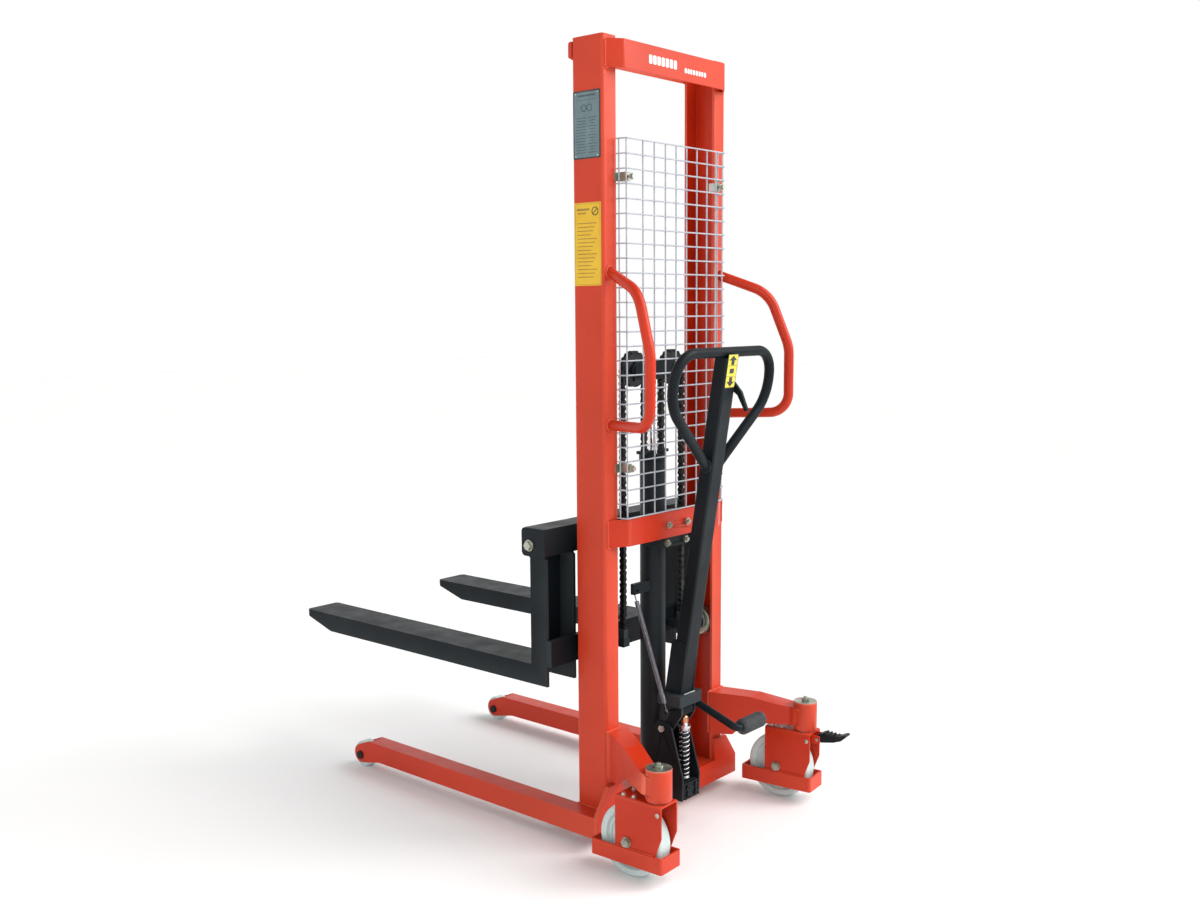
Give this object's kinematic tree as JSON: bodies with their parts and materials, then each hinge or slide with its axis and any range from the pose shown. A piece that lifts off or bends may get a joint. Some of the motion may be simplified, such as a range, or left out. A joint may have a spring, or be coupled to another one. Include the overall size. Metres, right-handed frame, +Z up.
{
  "type": "walkie stacker",
  "caption": "Hand-hydraulic walkie stacker: straddle legs, channel mast with chain-lifted fork carriage, guard mesh, pump with tiller and foot pedal, swivel casters with foot guards.",
  "frame": {"origin": "bottom centre of the whole machine's box, on the floor", "axes": "+Z up, +Y towards the fork tips, +X to the side the foot pedal points to"},
  "size_m": [0.7456, 1.4878, 2],
  "materials": {
    "red_paint": "glossy orange-red enamel on welded steel",
    "black_paint": "satin black enamel",
    "zinc_steel": "zinc plated with a faint yellow-green passivate",
    "spring_steel": "bright zinc plated spring wire",
    "chrome_rod": "hard chrome, polished",
    "cast_sheave": "machined and oiled, dark",
    "chain_steel": "oiled leaf chain",
    "mesh_wire": "light grey powder coat over welded wire",
    "nylon": "cast nylon, off white",
    "grip_rubber": "ribbed dark grey rubber"
  },
  "bodies": {
    "frame": {"mast_column_left": "red_paint", "mast_column_right": "red_paint", "top_cross_plate": "red_paint", "top_front_plate": "red_paint", "lower_cross_plate": "red_paint", "base_rear_plate": "red_paint", "base_crossmember": "red_paint", "leg_left": "red_paint", "leg_right": "red_paint", "load_axles": "black_paint", "caster_arms": "red_paint", "swivel_housings": "red_paint", "grab_handle_left": "red_paint", "grab_handle_right": "red_paint", "guard_mesh": "mesh_wire", "mesh_clips": "zinc_steel", "lift_cylinder": "black_paint", "cylinder_gland": "black_paint", "cylinder_saddle": "black_paint", "u_bolts": "zinc_steel", "inner_chains": "chain_steel", "pump_block": "black_paint", "pump_cheeks": "black_paint", "rocker_pin": "zinc_steel", "pump_spring": "spring_steel", "return_spring": "spring_steel"},
    "crosshead": {"piston_rod": "chrome_rod", "crosshead": "black_paint", "chain_wraps": "chain_steel"},
    "sheave_left": {"sheave_left": "cast_sheave"},
    "sheave_right": {"sheave_right": "cast_sheave"},
    "carriage": {"upper_beam": "black_paint", "lower_beam": "black_paint", "carriage_sides": "black_paint", "fork_shaft": "zinc_steel", "outer_chains": "chain_steel"},
    "fork_left": {"fork_left": "black_paint"},
    "fork_right": {"fork_right": "black_paint"},
    "tiller": {"rocker": "black_paint", "tiller_tube": "black_paint", "tiller_loop": "black_paint", "foot_pedal": "black_paint", "pedal_sleeve": "grip_rubber"},
    "control_lever": {"control_lever": "black_paint"},
    "pump_piston": {"pump_piston": "chrome_rod"},
    "brake_pedal": {"brake_pedal": "black_paint"},
    "carriage_roller_lower_left": {"carriage_roller_lower_left": "zinc_steel"},
    "carriage_roller_upper_left": {"carriage_roller_upper_left": "zinc_steel"},
    "carriage_roller_lower_right": {"carriage_roller_lower_right": "zinc_steel"},
    "carriage_roller_upper_right": {"carriage_roller_upper_right": "zinc_steel"},
    "caster_left": {"caster_yoke_left": "red_paint", "foot_guard_left": "red_paint", "caster_pins_left": "zinc_steel"},
    "caster_wheel_left": {"caster_wheel_left": "nylon"},
    "load_roller_left": {"load_roller_left": "nylon"},
    "caster_right": {"caster_yoke_right": "red_paint", "foot_guard_right": "red_paint", "caster_pins_right": "zinc_steel"},
    "caster_wheel_right": {"caster_wheel_right": "nylon"},
    "load_roller_right": {"load_roller_right": "nylon"}
  },
  "joints": [
    {"name": "lift_slide", "type": "slide", "parent": "frame", "child": "crosshead", "axis": [0, 0, 1], "range_m": [-0.176, 0.573], "deforming": ["inner_chains"]},
    {"name": "carriage_slide", "type": "slide", "parent": "crosshead", "child": "carriage", "axis": [0, 0, 1], "range_m": [-0.176, 0.573], "deforming": ["outer_chains"]},
    {"name": "sheave_spin_left", "type": "hinge", "parent": "crosshead", "child": "sheave_left", "pos_m": [-0.07787, -0.34007, 1.197], "axis": [0, 1, 0], "range_deg": [-748.1, 231.2]},
    {"name": "sheave_spin_right", "type": "hinge", "parent": "crosshead", "child": "sheave_right", "pos_m": [0.08213, -0.34007, 1.197], "axis": [0, 1, 0], "range_deg": [-231.2, 748.1]},
    {"name": "carriage_roller_lower_left_spin", "type": "hinge", "parent": "carriage", "child": "carriage_roller_lower_left", "pos_m": [-0.21587, -0.34007, 0.488], "axis": [1, 0, 0], "continuous": true},
    {"name": "carriage_roller_upper_left_spin", "type": "hinge", "parent": "carriage", "child": "carriage_roller_upper_left", "pos_m": [-0.21587, -0.34007, 0.762], "axis": [1, 0, 0], "continuous": true},
    {"name": "carriage_roller_lower_right_spin", "type": "hinge", "parent": "carriage", "child": "carriage_roller_lower_right", "pos_m": [0.22013, -0.34007, 0.488], "axis": [1, 0, 0], "continuous": true},
    {"name": "carriage_roller_upper_right_spin", "type": "hinge", "parent": "carriage", "child": "carriage_roller_upper_right", "pos_m": [0.22013, -0.34007, 0.762], "axis": [1, 0, 0], "continuous": true},
    {"name": "fork_slide_left", "type": "slide", "parent": "carriage", "child": "fork_left", "axis": [1, 0, 0], "range_m": [0, 0.15]},
    {"name": "fork_slide_right", "type": "slide", "parent": "carriage", "child": "fork_right", "axis": [-1, 0, 0], "range_m": [0, 0.15]},
    {"name": "tiller_hinge", "type": "hinge", "parent": "frame", "child": "tiller", "pos_m": [0.00213, -0.40107, 0.252], "axis": [1, 0, 0], "range_deg": [0, 60], "stiffness_Nm_per_rad": 50, "springref_deg": -40.11, "deforming": ["return_spring"]},
    {"name": "pump_slide", "type": "slide", "parent": "frame", "child": "pump_piston", "axis": [0, 0, 1], "range_m": [-0.068, 0], "deforming": ["pump_spring"]},
    {"name": "control_lever_hinge", "type": "hinge", "parent": "tiller", "child": "control_lever", "pos_m": [0.03213, -0.56707, 1.166], "axis": [1, 0, 0], "range_deg": [-12, 12], "stiffness_Nm_per_rad": 1.5},
    {"name": "caster_swivel_left", "type": "hinge", "parent": "frame", "child": "caster_left", "pos_m": [-0.32587, -0.61507, 0.2395], "axis": [0, 0, 1], "continuous": true},
    {"name": "caster_wheel_spin_left", "type": "hinge", "parent": "caster_left", "child": "caster_wheel_left", "pos_m": [-0.32831, -0.54511, 0.09], "axis": [0.9994, 0.0349, 0], "continuous": true},
    {"name": "load_roller_spin_left", "type": "hinge", "parent": "frame", "child": "load_roller_left", "pos_m": [-0.27587, 0.53093, 0.038], "axis": [1, 0, 0], "continuous": true},
    {"name": "caster_swivel_right", "type": "hinge", "parent": "frame", "child": "caster_right", "pos_m": [0.33013, -0.61507, 0.2395], "axis": [0, 0, 1], "continuous": true},
    {"name": "caster_wheel_spin_right", "type": "hinge", "parent": "caster_right", "child": "caster_wheel_right", "pos_m": [0.32282, -0.54545, 0.09], "axis": [0.9945, 0.1045, 0], "continuous": true},
    {"name": "load_roller_spin_right", "type": "hinge", "parent": "frame", "child": "load_roller_right", "pos_m": [0.28013, 0.53093, 0.038], "axis": [1, 0, 0], "continuous": true},
    {"name": "brake_pedal_hinge", "type": "hinge", "parent": "caster_right", "child": "brake_pedal", "pos_m": [0.33494, -0.66082, 0.184], "axis": [0.9945, 0.1045, 0], "range_deg": [0, 14]}
  ],
  "couplings": [
    {"joint": "carriage_slide", "follows": "lift_slide", "ratio": 1},
    {"joint": "sheave_spin_left", "follows": "lift_slide", "rad_per_m": -22.727},
    {"joint": "sheave_spin_right", "follows": "lift_slide", "rad_per_m": 22.727},
    {"joint": "pump_slide", "follows": "tiller_hinge", "m_per_rad": -0.0625}
  ]
}
